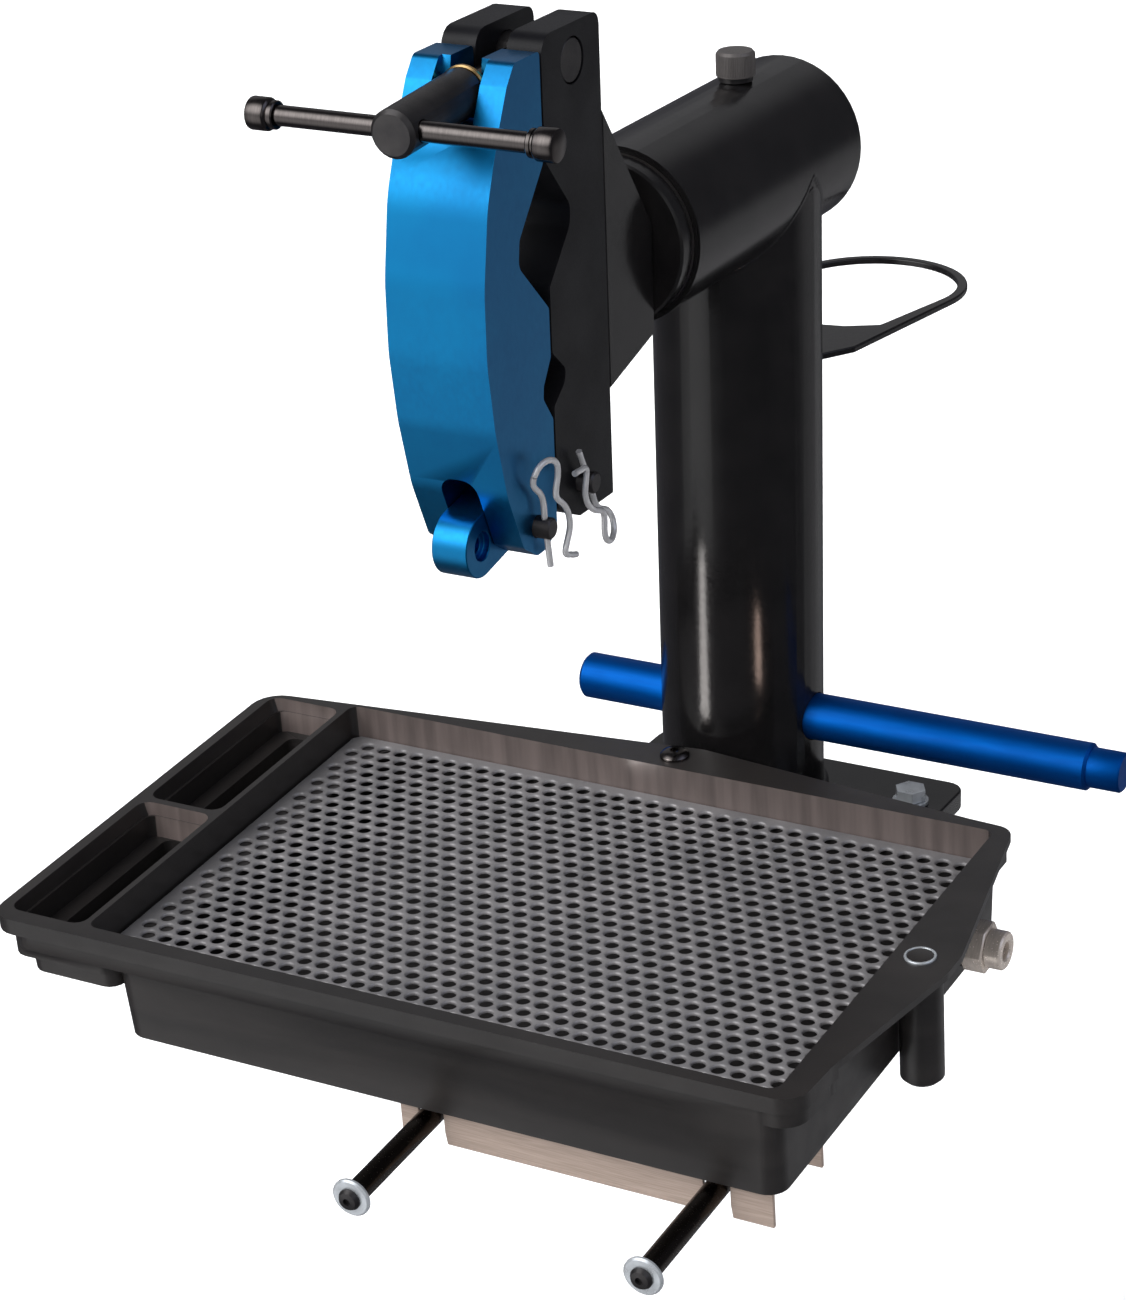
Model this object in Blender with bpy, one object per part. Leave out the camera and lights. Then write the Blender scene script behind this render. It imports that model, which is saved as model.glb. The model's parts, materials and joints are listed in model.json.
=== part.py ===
"""Bench-mounted suspension work stand: column, rotating two-jaw vise, sliding drain tray."""

import math

import bmesh
import bpy
from mathutils import Matrix, Vector

MM = 0.001
GAP = 0.3
ROUND = 32
BIG_ROUND = 48
SMALL_ROUND = 20

# Stand, millimetres. The column axis is x = 0, y = 0 and the bench face is z = 0.
PLATE_X = (-62.0, 98.0)
PLATE_Y = (-42.0, 40.0)
PLATE_T = 10.0
PLATE_CORNER_R = 9.0
COLUMN_R = 38.1
COLUMN_WALL = 4.0
HEAD_Z = 308.7
HEAD_Y = (-110.0, 50.0)
HEAD_R = 38.1
HEAD_BORE_R = 33.0
PLUNGER_Y = 2.0
BENCH_BOLTS = ((81.4, 11.0), (-49.0, -14.0))
BENCH_BOLT_R = 4.0
BENCH_BOLT_DEPTH = 22.0

# Leverage bar stored across the column.
BAR_Z = 51.0
BAR_R = 11.0
BAR_TIP_R = 9.3
BAR_X = (-82.6, 174.6, 190.0)

# Tool ring behind the column.
RING_Z = 209.5
RING_T = 3.2
RING_Y = 147.3
RING_OUTER_R = 46.1
RING_INNER_R = 41.2
RING_ARM = (31.7, 57.6)
RING_NECK = 17.0
RING_SILL = ((29.0, 91.6), (15.0, 84.2), (0.0, 81.6))

# Rotating head and vise.
SPINDLE_R = 27.0
INDEX_HOLES = 12
INDEX_HOLE_R = 3.8
STUB_R = 35.5
JAW_HALF = 22.0
JAW_FACE_Y = -208.7
JAW_BACK_Y = -162.0
JAW_TOP_Z = 416.0
JAW_BOTTOM_Z = 216.5
SLOT_HALF = 6.8
MOUTH_HALF = 10.6
TRUNNION_Y = -184.5
TRUNNION_Z = 401.5
TRUNNION_R = 9.0
SCREW_TILT = math.radians(3.7)
SCREW_R = 5.6
SEAT_R = 43.6
WASHER_T = 2.4
WASHER_R = 10.2
BARREL_R = 9.6
BARREL_AT = (46.6, 99.5)
TBAR_AT = 91.5
TBAR_R = 4.0
TBAR_HALF = 54.0
CAP_R = 6.4
CAP_LENGTH = 12.0
LINK_HALF = 8.0
PIN_1 = (-226.0, 224.4)
PIN_2 = (-189.0, 231.0)
LINK_NOSE = (-246.0, 221.0)
LINK_R = 13.0
PIN_R = 4.5
PIN_REACH = 29.0
CLIP_WIRE_R = 1.3
CLIP_LEAN = {"link_pin_1": math.radians(8.0), "link_pin_2": math.radians(205.0)}

# Tray group, in its own frame: grate top is z = 0 and the pan opens upwards.
TRAY_PITCH = math.radians(3.49)
TRAY_ORIGIN = (-10.1, -168.1, 23.0)
RIM_TOP = 15.6
RIM_T = 3.6
RIM_LEFT = -212.5
LIP_LOW = 8.0
LIP_PROUD = 1.2
SKIRT_LEFT = -205.5
SKIRT_LOW = 1.0
SKIRT_T = 3.0
WING_LOW = 12.3
DIVIDER_Y = (-15.1, -11.5)
PAN_X = (-165.5, 165.0)
PAN_Y = (-119.5, 102.5)
PAN_LOW = -33.0
PAN_LEFT = -150.0
BIN_LEDGE = -1.5
BIN_STEP = 9.2
BIN_LOW = -10.6
BIN_X = (-207.5, -168.3)
BIN_WALL_X = -205.2
BIN_BODY_X = -197.5
BODY_FRONT = (-125.0, -124.2)
FLOOR_T = 2.8
RAIL_X = (1.0, 134.7)
RAIL_Z = -41.0
RAIL_R = 5.0
RAIL_Y = (-180.5, 139.0)
WING_HOLE = (177.0, -6.5)
REAR_HOLE = (2.3, 113.5)
POST_R = 9.5
POST_LOW = {"right": -44.0, "rear": -33.5}
FITTING = (62.0, -18.0)
GRATE_T = 1.5
GRATE_PITCH = 16.0
GRATE_HOLE_R = 5.5


def clear_scene():
    for obj in list(bpy.data.objects):
        bpy.data.objects.remove(obj, do_unlink=True)


def paint(name, colour, metallic, roughness, coat=0.0):
    material = bpy.data.materials.new(name)
    material.use_nodes = True
    shader = material.node_tree.nodes["Principled BSDF"]
    shader.inputs["Base Color"].default_value = (*colour, 1.0)
    shader.inputs["Metallic"].default_value = metallic
    shader.inputs["Roughness"].default_value = roughness
    shader.inputs["Coat Weight"].default_value = coat
    material.diffuse_color = (*colour, 1.0)
    return material


LOOKS = {
    "powder": ((0.012, 0.012, 0.013), 0.0, 0.25, 0.5),
    "oxide": ((0.03, 0.03, 0.033), 0.8, 0.42, 0.0),
    "blue": ((0.0, 0.13, 0.42), 1.0, 0.3, 0.0),
    "steel": ((0.45, 0.44, 0.42), 1.0, 0.3, 0.0),
    "zinc": ((0.72, 0.74, 0.76), 1.0, 0.25, 0.0),
    "stainless": ((0.62, 0.57, 0.52), 1.0, 0.34, 0.0),
    "brass": ((0.78, 0.56, 0.28), 1.0, 0.25, 0.0),
    "plastic": ((0.022, 0.021, 0.021), 0.0, 0.5, 0.0),
    "perforated": ((0.16, 0.155, 0.15), 0.9, 0.42, 0.0),
}


def finish(name, bm, look, origin=(0.0, 0.0, 0.0), parent=None, hidden=False):
    """Makes one object whose own origin sits at a point given in millimetres."""
    bmesh.ops.recalc_face_normals(bm, faces=bm.faces)
    bmesh.ops.transform(bm, matrix=Matrix.Translation(-Vector(origin)), verts=bm.verts)
    bmesh.ops.transform(bm, matrix=Matrix.Scale(MM, 4), verts=bm.verts)
    mesh = bpy.data.meshes.new(name)
    bm.to_mesh(mesh)
    bm.free()
    mesh.shade_smooth()
    mesh.set_sharp_from_angle(angle=math.radians(32.0))
    obj = bpy.data.objects.new(name, mesh)
    bpy.context.scene.collection.objects.link(obj)
    obj.location = Vector(origin) * MM
    if parent is not None:
        obj.parent = parent
    if hidden:
        obj.hide_render = True
        obj.display_type = "WIRE"
    else:
        mesh.materials.append(paint(name + "_" + look, *LOOKS[look]))
    return obj


def boolean(obj, bm, operation="DIFFERENCE"):
    number = len(obj.modifiers) + 1
    tool = finish(f"cut_{obj.name}_{number}", bm, "", parent=obj.parent, hidden=True)
    step = obj.modifiers.new(f"shape_{number}", "BOOLEAN")
    step.operation = operation
    step.solver = "EXACT"
    step.object = tool


def bevel(obj, width, segments=1, angle=40.0):
    step = obj.modifiers.new("edge", "BEVEL")
    step.width = width * MM
    step.segments = segments
    step.limit_method = "ANGLE"
    step.angle_limit = math.radians(angle)


def place(point, depth, axis):
    """Sets a drawn point and its depth on the axis that the drawing is pushed along."""
    if axis == "X":
        return Vector((depth, point[0], point[1]))
    if axis == "Y":
        return Vector((point[0], depth, point[1]))
    return Vector((point[0], point[1], depth))


def ring(centre, radius, count=ROUND, start=0.0):
    turns = [start + 2 * math.pi * i / count for i in range(count)]
    return [(centre[0] + radius * math.cos(a), centre[1] + radius * math.sin(a)) for a in turns]


def rounded(corners, radii, steps=6):
    """A closed outline whose corners are replaced by arcs."""
    outline = []
    count = len(corners)
    for i, (corner, radius) in enumerate(zip(corners, radii)):
        here = Vector(corner)
        back = Vector(corners[i - 1]) - here
        ahead = Vector(corners[(i + 1) % count]) - here
        if radius <= 0:
            outline.append(tuple(here))
            continue
        opening = back.angle(ahead)
        reach = min(radius / math.tan(opening / 2), 0.49 * back.length, 0.49 * ahead.length)
        true_radius = reach * math.tan(opening / 2)
        middle = here + (back.normalized() + ahead.normalized()).normalized() * (
            true_radius / math.sin(opening / 2)
        )
        first = here + back.normalized() * reach - middle
        last = here + ahead.normalized() * reach - middle
        turn = first.angle_signed(last)
        for k in range(steps + 1):
            a = -turn * k / steps
            spun = Matrix.Rotation(a, 2) @ first
            outline.append(tuple(middle + spun))
    return outline


def rectangle(x0, x1, y0, y1, radius=0.0, steps=6):
    corners = [(x0, y0), (x1, y0), (x1, y1), (x0, y1)]
    if radius == 0.0:
        return corners
    return rounded(corners, [radius] * 4, steps)


def prism(outer, low, high, axis="Z", holes=(), top=None):
    """Pushes an outline between two depths; top may be another outline of as many points."""
    bm = bmesh.new()
    loops = [outer, *holes]
    tops = [top if top is not None else outer, *holes]
    bottom = [[bm.verts.new(place(p, low, axis)) for p in loop] for loop in loops]
    above = [[bm.verts.new(place(p, high, axis)) for p in loop] for loop in tops]
    if holes:
        edges = [bm.edges.new((r[i - 1], r[i])) for r in bottom for i in range(len(r))]
        filled = bmesh.ops.triangle_fill(bm, use_beauty=True, edges=edges)["geom"]
        partner = {v: w for r, s in zip(bottom, above) for v, w in zip(r, s)}
        for face in [g for g in filled if isinstance(g, bmesh.types.BMFace)]:
            bm.faces.new([partner[v] for v in face.verts])
    else:
        bm.faces.new(bottom[0])
        bm.faces.new(above[0])
    for r, s in zip(bottom, above):
        for i in range(len(r)):
            bm.faces.new((r[i - 1], r[i], s[i], s[i - 1]))
    return bm


def lathe(profile, count=ROUND, axis="Z", centre=(0.0, 0.0, 0.0), closed=False):
    """Turns (radius, height) points about an axis; an open profile must end on the axis."""
    bm = bmesh.new()
    rows = []
    for radius, height in profile:
        spokes = 1 if radius == 0 else count
        row = []
        for i in range(spokes):
            a = 2 * math.pi * i / count
            row.append(bm.verts.new(place((radius * math.cos(a), radius * math.sin(a)), height, axis)))
        rows.append(row)
    pairs = list(zip(rows, rows[1:])) + ([(rows[-1], rows[0])] if closed else [])
    for one, two in pairs:
        for i in range(count):
            j = (i + 1) % count
            corners = [one[i % len(one)], one[j % len(one)], two[j % len(two)], two[i % len(two)]]
            corners = list(dict.fromkeys(corners))
            if len(corners) > 2:
                bm.faces.new(corners)
    bmesh.ops.translate(bm, vec=Vector(centre), verts=bm.verts)
    return bm


def cylinder(radius, low, high, axis="Z", centre=(0.0, 0.0), chamfer=0.0, count=ROUND):
    c = chamfer
    profile = [
        (0.0, low),
        (radius - c, low),
        (radius, low + c),
        (radius, high - c),
        (radius - c, high),
        (0.0, high),
    ]
    if c == 0.0:
        profile = [(0.0, low), (radius, low), (radius, high), (0.0, high)]
    return lathe(profile, count, axis, place(centre, 0.0, axis))


def tube(outer, inner, low, high, axis="Z", centre=(0.0, 0.0), count=ROUND):
    profile = [(inner, low), (outer, low), (outer, high), (inner, high)]
    return lathe(profile, count, axis, place(centre, 0.0, axis), closed=True)


def wire(points, radius, count=10):
    """A round bar that follows a line of points, with flat ends."""
    bm = bmesh.new()
    points = [Vector(p) for p in points]
    side = None
    rows = []
    for i, point in enumerate(points):
        ahead = (points[min(i + 1, len(points) - 1)] - points[max(i - 1, 0)]).normalized()
        if side is None:
            side = ahead.orthogonal().normalized()
        side = (side - ahead * side.dot(ahead)).normalized()
        other = ahead.cross(side)
        turns = [2 * math.pi * k / count for k in range(count)]
        rows.append(
            [bm.verts.new(point + radius * (math.cos(a) * side + math.sin(a) * other)) for a in turns]
        )
    for one, two in zip(rows, rows[1:]):
        for k in range(count):
            bm.faces.new((one[k - 1], one[k], two[k], two[k - 1]))
    bm.faces.new(rows[0])
    bm.faces.new(rows[-1])
    return bm


def smooth_path(points, steps=4):
    """Points on a curve through the given ones."""
    points = [Vector(p) for p in points]
    path = []
    for i in range(len(points) - 1):
        before = points[max(i - 1, 0)]
        after = points[min(i + 2, len(points) - 1)]
        one, two = points[i], points[i + 1]
        for k in range(steps):
            t = k / steps
            path.append(
                0.5
                * (
                    2 * one
                    + (two - before) * t
                    + (2 * before - 5 * one + 4 * two - after) * t * t
                    + (3 * one - before - 3 * two + after) * t**3
                )
            )
    path.append(points[-1])
    return path


def hexagon(width):
    return ring((0.0, 0.0), width / math.sqrt(3.0), 6)


def shifted(outline, x, y):
    return [(p[0] + x, p[1] + y) for p in outline]


# ---------------------------------------------------------------- stand


def make_base():
    outline = rectangle(*PLATE_X, *PLATE_Y, PLATE_CORNER_R)
    holes = [ring(b, BENCH_BOLT_R + 0.6, SMALL_ROUND) for b in BENCH_BOLTS]
    plate = finish("base_plate", prism(outline, 0.0, PLATE_T, holes=holes), "powder")
    washer_top = PLATE_T + GAP + 1.6
    head_top = washer_top + GAP + 5.5
    for number, (x, y) in enumerate(BENCH_BOLTS, 1):
        washer = tube(
            8.5, BENCH_BOLT_R + 0.5, PLATE_T + GAP, washer_top, centre=(x, y), count=SMALL_ROUND
        )
        finish(f"bench_washer_{number}", washer, "zinc", (x, y, PLATE_T))
        bolt = finish(
            f"bench_bolt_{number}",
            cylinder(
                BENCH_BOLT_R,
                -BENCH_BOLT_DEPTH,
                head_top - 2.0,
                centre=(x, y),
                chamfer=0.8,
                count=SMALL_ROUND,
            ),
            "zinc",
            (x, y, 0.0),
        )
        head = prism(shifted(hexagon(13.0), x, y), washer_top + GAP, head_top)
        boolean(bolt, head, "UNION")


def make_column():
    low = PLATE_T + GAP
    column = finish(
        "column_tube", tube(COLUMN_R, COLUMN_R - COLUMN_WALL, low, HEAD_Z, count=BIG_ROUND), "powder"
    )
    boolean(column, cylinder(HEAD_R + GAP, -80.0, 80.0, "Y", (0.0, HEAD_Z), count=BIG_ROUND))
    boolean(column, cylinder(BAR_R + 0.5, -60.0, 60.0, "X", (0.0, BAR_Z)))
    head = finish(
        "head_tube",
        tube(HEAD_R, HEAD_BORE_R, *HEAD_Y, "Y", (0.0, HEAD_Z), BIG_ROUND),
        "powder",
        (0.0, 0.0, HEAD_Z),
    )
    boolean(head, cylinder(5.3, HEAD_Z, HEAD_Z + 60.0, centre=(0.0, PLUNGER_Y), count=SMALL_ROUND))
    cap = [(0.0, 43.0), (HEAD_BORE_R - GAP, 43.0), (HEAD_BORE_R - GAP, 47.0), (31.0, 48.6), (0.0, 48.6)]
    finish("head_rear_cap", lathe(cap, ROUND, "Y", (0.0, 0.0, HEAD_Z)), "plastic", (0.0, 45.0, HEAD_Z))
    for name, y in (("front_bushing", HEAD_Y[0] + 1.0), ("rear_bushing", 20.0)):
        ends = (y, y + 18.0)
        bush = tube(HEAD_BORE_R - GAP, SPINDLE_R + GAP, *ends, "Y", (0.0, HEAD_Z))
        finish(name, bush, "brass", (0.0, y + 9.0, HEAD_Z))


def make_bar():
    left, step, right = BAR_X
    profile = [(0.0, left), (BAR_R - 1.5, left), (BAR_R, left + 1.5), (BAR_R, step - 1.2)]
    profile += [
        (BAR_R - 1.2, step),
        (BAR_TIP_R, step),
        (BAR_TIP_R, right - 1.0),
        (BAR_TIP_R - 1.0, right),
        (0.0, right),
    ]
    finish("leverage_bar", lathe(profile, ROUND, "X", (0.0, 0.0, BAR_Z)), "blue", (0.0, 0.0, BAR_Z))


def make_tool_ring():
    """A flat plate on the back of the column that opens into a thin round loop."""
    outer_lean = math.radians(10.0)
    turns = [-outer_lean + (math.pi + 2 * outer_lean) * i / 40 for i in range(41)]
    loop = [(RING_OUTER_R * math.cos(a), RING_Y + RING_OUTER_R * math.sin(a)) for a in turns]
    inner = COLUMN_R + GAP
    half = math.asin(RING_NECK / inner)
    arc = [-half + 2 * half * k / 12 for k in range(13)]
    seat = [(inner * math.sin(a), inner * math.cos(a)) for a in arc]
    outline = loop + [(-RING_ARM[0], RING_ARM[1])] + seat + [RING_ARM]
    hole = [(RING_INNER_R * math.cos(a), RING_Y + RING_INNER_R * math.sin(a)) for a in turns]
    left = [(-x, y) for x, y in RING_SILL]
    hole += left + list(reversed(RING_SILL[:-1]))
    finish(
        "tool_ring",
        prism(outline, RING_Z, RING_Z + RING_T, holes=[hole]),
        "powder",
        (0.0, RING_Y, RING_Z),
    )


def make_plunger():
    top = HEAD_Z + HEAD_R
    low = HEAD_Z + SPINDLE_R - 4.0
    centre = (0.0, PLUNGER_Y)
    sleeve = [
        (3.6, top - 7.0),
        (5.0, top - 7.0),
        (5.0, top + GAP),
        (7.6, top + GAP),
        (7.6, top + 2.2),
        (3.6, top + 2.2),
    ]
    finish(
        "plunger_sleeve",
        lathe(sleeve, SMALL_ROUND, "Z", (*centre, 0.0), closed=True),
        "oxide",
        (*centre, top),
    )
    pin = [
        (0.0, low), (2.2, low), (3.2, low + 1.4), (3.2, top + 2.6), (8.6, top + 2.6), (8.6, top + 12.2)
    ]
    pin += [(7.6, top + 13.4), (0.0, top + 13.4)]
    finish("index_plunger", lathe(pin, ROUND, "Z", (*centre, 0.0)), "steel", (*centre, top))


# ---------------------------------------------------------------- rotating head


def head_frame_parts():
    spindle = [
        (0.0, HEAD_Y[0] - 2.5),
        (SPINDLE_R, HEAD_Y[0] - 2.5),
        (SPINDLE_R, 41.0),
        (SPINDLE_R - 2.0, 42.6),
        (0.0, 42.6),
    ]
    body = finish("spindle", lathe(spindle, ROUND, "Y", (0.0, 0.0, HEAD_Z)), "steel", (0.0, 0.0, HEAD_Z))
    for k in range(INDEX_HOLES):
        hole = cylinder(INDEX_HOLE_R, SPINDLE_R - 6.0, SPINDLE_R + 6.0, centre=(0.0, PLUNGER_Y), count=10)
        turn = Matrix.Rotation(2 * math.pi * k / INDEX_HOLES, 4, "Y")
        bmesh.ops.transform(hole, matrix=turn, verts=hole.verts)
        bmesh.ops.translate(hole, vec=(0.0, 0.0, HEAD_Z), verts=hole.verts)
        boolean(body, hole)
    thrust = tube(
        HEAD_R - 2.6,
        SPINDLE_R + GAP,
        HEAD_Y[0] - 2.4,
        HEAD_Y[0] - GAP,
        "Y",
        (0.0, HEAD_Z),
        count=BIG_ROUND,
    )
    finish("thrust_ring", thrust, "plastic", (0.0, HEAD_Y[0], HEAD_Z))
    stub = [
        (0.0, -121.0),
        (STUB_R - 1.0, -121.0),
        (STUB_R, -120.0),
        (STUB_R, HEAD_Y[0] - 2.8),
        (0.0, HEAD_Y[0] - 2.8),
    ]
    finish("head_stub", lathe(stub, BIG_ROUND, "Y", (0.0, 0.0, HEAD_Z)), "powder", (0.0, 0.0, HEAD_Z))


def make_gussets():
    """Two side cheeks, a back plate and a web that carry the fixed jaw on the stub."""
    front = JAW_BACK_Y + GAP
    back = -121.0 - GAP
    cheek = [(front, 261.0), (back, 272.5), (back, 320.0), (front, 377.5)]
    for name, x in (("cheek_right", JAW_HALF - 5.0), ("cheek_left", -JAW_HALF)):
        plate = finish(name, prism(cheek, x, x + 5.0, "X"), "powder", (x, back, HEAD_Z))
        bevel(plate, 0.7, 1)
    inner = JAW_HALF - 5.0 - GAP
    plate = prism(rectangle(-inner, inner, 263.0, 375.0), front, front + 7.0, "Y")
    finish("jaw_back_plate", plate, "powder", (0.0, front, HEAD_Z))
    web = [(front + 7.0 + GAP, 267.0), (back, 277.0), (back, 316.0), (front + 7.0 + GAP, 368.0)]
    finish("centre_web", prism(web, -3.0, 3.0, "X"), "powder", (0.0, back, HEAD_Z))


def fixed_jaw_outline():
    f = JAW_FACE_Y
    corners = [(JAW_BACK_Y, JAW_BOTTOM_Z), (JAW_BACK_Y, JAW_TOP_Z), (f, JAW_TOP_Z), (f, 368.0)]
    radii = [1.0, 5.0, 8.0, 6.0]
    corners += [(-190.0, 346.0), (-191.0, 338.0), (f, 318.0), (f, 291.0)]
    radii += [7.0, 7.0, 3.0, 3.0]
    corners += [(-198.2, 281.5), (-199.8, 276.0), (f, 269.0), (f, 225.5)]
    radii += [4.0, 4.0, 2.5, 4.0]
    corners += [(-191.0, JAW_BOTTOM_Z)]
    radii += [4.0]
    return rounded(corners, radii, 4)


def moving_jaw_outline():
    f = JAW_FACE_Y - 1.4
    corners = [(f, 411.0), (f, 368.0), (-231.0, 343.0), (-232.4, 332.5), (f, 310.0), (f, 290.0)]
    radii = [2.0, 5.0, 6.0, 6.0, 3.0, 3.0]
    corners += [
        (-216.6, 279.8),
        (-217.2, 274.6),
        (f, 264.5),
        (f, 219.0),
        (-218.0, 212.6),
        (-227.0, 212.2),
        (-237.5, 219.0),
    ]
    radii += [3.5, 3.5, 2.5, 4.0, 3.0, 4.0, 5.0]
    corners += [
        (-248.4, 244.0),
        (-255.7, 272.7),
        (-259.6, 301.5),
        (-259.2, 329.9),
        (-253.9, 362.0),
        (-243.2, 388.5),
    ]
    radii += [40.0, 60.0, 60.0, 60.0, 60.0, 40.0]
    corners += [(-236.0, 403.0), (-229.5, 411.0)]
    radii += [6.0, 4.0]
    return rounded(corners, radii, 4)


def screw_point(distance, rise=0.0):
    """A point in the jaw plane, measured from the trunnion along the screw."""
    c, s = math.cos(SCREW_TILT), math.sin(SCREW_TILT)
    return (TRUNNION_Y - distance * c - rise * s, TRUNNION_Z - distance * s + rise * c)


def make_fixed_jaw():
    jaw = finish(
        "fixed_jaw",
        prism(fixed_jaw_outline(), -JAW_HALF, JAW_HALF, "X"),
        "oxide",
        (0.0, PIN_2[0], PIN_2[1]),
    )
    slot = [(-240.0, 385.0), (-150.0, 385.0), (-150.0, 440.0), (-240.0, 440.0)]
    boolean(jaw, prism(slot, -SLOT_HALF, SLOT_HALF, "X"))
    boolean(jaw, cylinder(TRUNNION_R + GAP, -40.0, 40.0, "X", (TRUNNION_Y, TRUNNION_Z)))
    pocket = [(-230.0, 200.0), (-169.0, 200.0), (-169.0, 251.0), (-230.0, 251.0)]
    boolean(jaw, prism(pocket, -LINK_HALF - 0.4, LINK_HALF + 0.4, "X"))
    boolean(jaw, cylinder(PIN_R + GAP, -40.0, 40.0, "X", PIN_2, count=SMALL_ROUND))


def make_moving_jaw():
    jaw = finish(
        "moving_jaw",
        prism(moving_jaw_outline(), -JAW_HALF, JAW_HALF, "X"),
        "blue",
        (0.0, PIN_1[0], PIN_1[1]),
    )
    slot = [(-300.0, 388.0), (-190.0, 388.0), (-190.0, 440.0), (-300.0, 440.0)]
    boolean(jaw, prism(slot, -SLOT_HALF, SLOT_HALF, "X"))
    low = screw_point(SEAT_R * math.cos(0.27), -SEAT_R * math.sin(0.27))
    floor = [(-300.0, low[1] - 4.2), low]
    arc = (-0.18, -0.09, 0.0, 0.09, 0.18, 0.3, 0.45, 0.6)
    floor += [screw_point(SEAT_R * math.cos(a), SEAT_R * math.sin(a)) for a in arc]
    floor += [(screw_point(SEAT_R * math.cos(0.6))[0], 440.0), (-300.0, 440.0)]
    boolean(jaw, prism(floor, -MOUTH_HALF, MOUTH_HALF, "X"))
    pocket = [(-228.0, 190.0), (-190.0, 190.0), (-190.0, 243.0), (-222.0, 247.0), (-228.0, 247.0)]
    boolean(jaw, prism(pocket, -LINK_HALF - 0.4, LINK_HALF + 0.4, "X"))
    mouth = rectangle(-LINK_HALF - 0.4, LINK_HALF + 0.4, 180.0, 249.0, 6.5, 5)
    boolean(jaw, prism(mouth, -290.0, -226.0, "Y"))
    boolean(jaw, cylinder(PIN_R + GAP, -40.0, 40.0, "X", PIN_1, count=SMALL_ROUND))


def make_link():
    nose = Vector(LINK_NOSE)
    tail = Vector((-182.0, 232.5))
    along = (tail - nose).normalized()
    start = math.atan2(along.y, along.x)
    outline = []
    for k in range(17):
        a = start + math.pi / 2 + math.pi * k / 16
        outline.append((nose.x + LINK_R * math.cos(a), nose.y + LINK_R * math.sin(a)))
    for k in range(9):
        a = start - math.pi / 2 + math.pi * k / 8
        outline.append((tail.x + 12.0 * math.cos(a), tail.y + 12.0 * math.sin(a)))
    holes = [ring(p, PIN_R + GAP, SMALL_ROUND) for p in (PIN_1, PIN_2)]
    link = finish("pivot_link", prism(outline, -LINK_HALF, LINK_HALF, "X", holes), "blue", (0.0, *PIN_2))
    boolean(link, cylinder(6.0, LINK_HALF - 3.0, LINK_HALF + 4.0, "X", LINK_NOSE, count=SMALL_ROUND))
    boolean(link, cylinder(3.2, -20.0, 20.0, "X", LINK_NOSE, count=SMALL_ROUND))


def clip_path(flip):
    """A hitch clip: one straight leg and one waved leg joined by a loop."""
    loop = [
        (0.4, 11.0),
        (-1.2, 16.0),
        (-5.6, 21.5),
        (-6.0, 26.0),
        (-2.6, 29.6),
        (2.6, 29.6),
        (6.4, 26.2),
        (6.2, 21.5),
    ]
    waved = [
        (3.4, 15.6),
        (3.8, 12.0),
        (8.6, 6.5),
        (11.2, 0.5),
        (10.6, -5.4),
        (5.4, -13.0),
        (9.6, -16.5),
        (13.6, -18.5),
    ]
    straight = [(0.4, -17.5), (0.2, -8.0), (0.0, 2.0)]
    points = smooth_path(straight + loop + waved, 2)
    return [(flip * p.x, p.y) for p in points]


def make_clip(name, pin, lean, flip, offset):
    """The clip stands in the jaw plane just outside the pin end, turned by lean."""
    turn = Matrix.Rotation(lean, 2)
    path = []
    for u, v in ((p[0], p[1]) for p in clip_path(flip)):
        q = turn @ Vector((u, v))
        path.append(Vector((PIN_REACH - 3.4, pin[0] + q.x, pin[1] + q.y)))
    reach = offset
    for i, point in enumerate(path):
        away = min(1.0, max(0.0, (i - 9) / 9.0))
        point.x += reach * away
    finish(name, wire(path, CLIP_WIRE_R, 7), "zinc", (PIN_REACH, *pin))


def make_pins():
    for name, pin in (("link_pin_1", PIN_1), ("link_pin_2", PIN_2)):
        body = [
            (0.0, -JAW_HALF - 3.6), (5.8, -JAW_HALF - 3.6), (6.6, -JAW_HALF - 2.8), (6.6, -JAW_HALF - GAP)
        ]
        body += [
            (PIN_R, -JAW_HALF - GAP), (PIN_R, PIN_REACH - 0.8), (PIN_R - 0.8, PIN_REACH), (0.0, PIN_REACH)
        ]
        obj = finish(name, lathe(body, SMALL_ROUND, "X", (0.0, *pin)), "oxide", (0.0, *pin))
        lean = CLIP_LEAN[name]
        bore = cylinder(CLIP_WIRE_R + 0.35, -12.0, 12.0, count=12)
        bmesh.ops.transform(bore, matrix=Matrix.Rotation(lean, 4, "X"), verts=bore.verts)
        bmesh.ops.translate(bore, vec=(PIN_REACH - 3.4, *pin), verts=bore.verts)
        boolean(obj, bore)
    make_clip("hitch_clip_1", PIN_1, CLIP_LEAN["link_pin_1"], 1.0, 4.6)
    make_clip("hitch_clip_2", PIN_2, CLIP_LEAN["link_pin_2"], 1.0, 4.6)


# ---------------------------------------------------------------- screw


def along_screw(bm):
    """Carries a shape drawn on +Z at the origin to the screw line."""
    turn = Matrix.Rotation(math.pi / 2 + SCREW_TILT, 4, "X")
    bmesh.ops.transform(bm, matrix=turn, verts=bm.verts)
    bmesh.ops.translate(bm, vec=(0.0, TRUNNION_Y, TRUNNION_Z), verts=bm.verts)
    return bm


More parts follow.
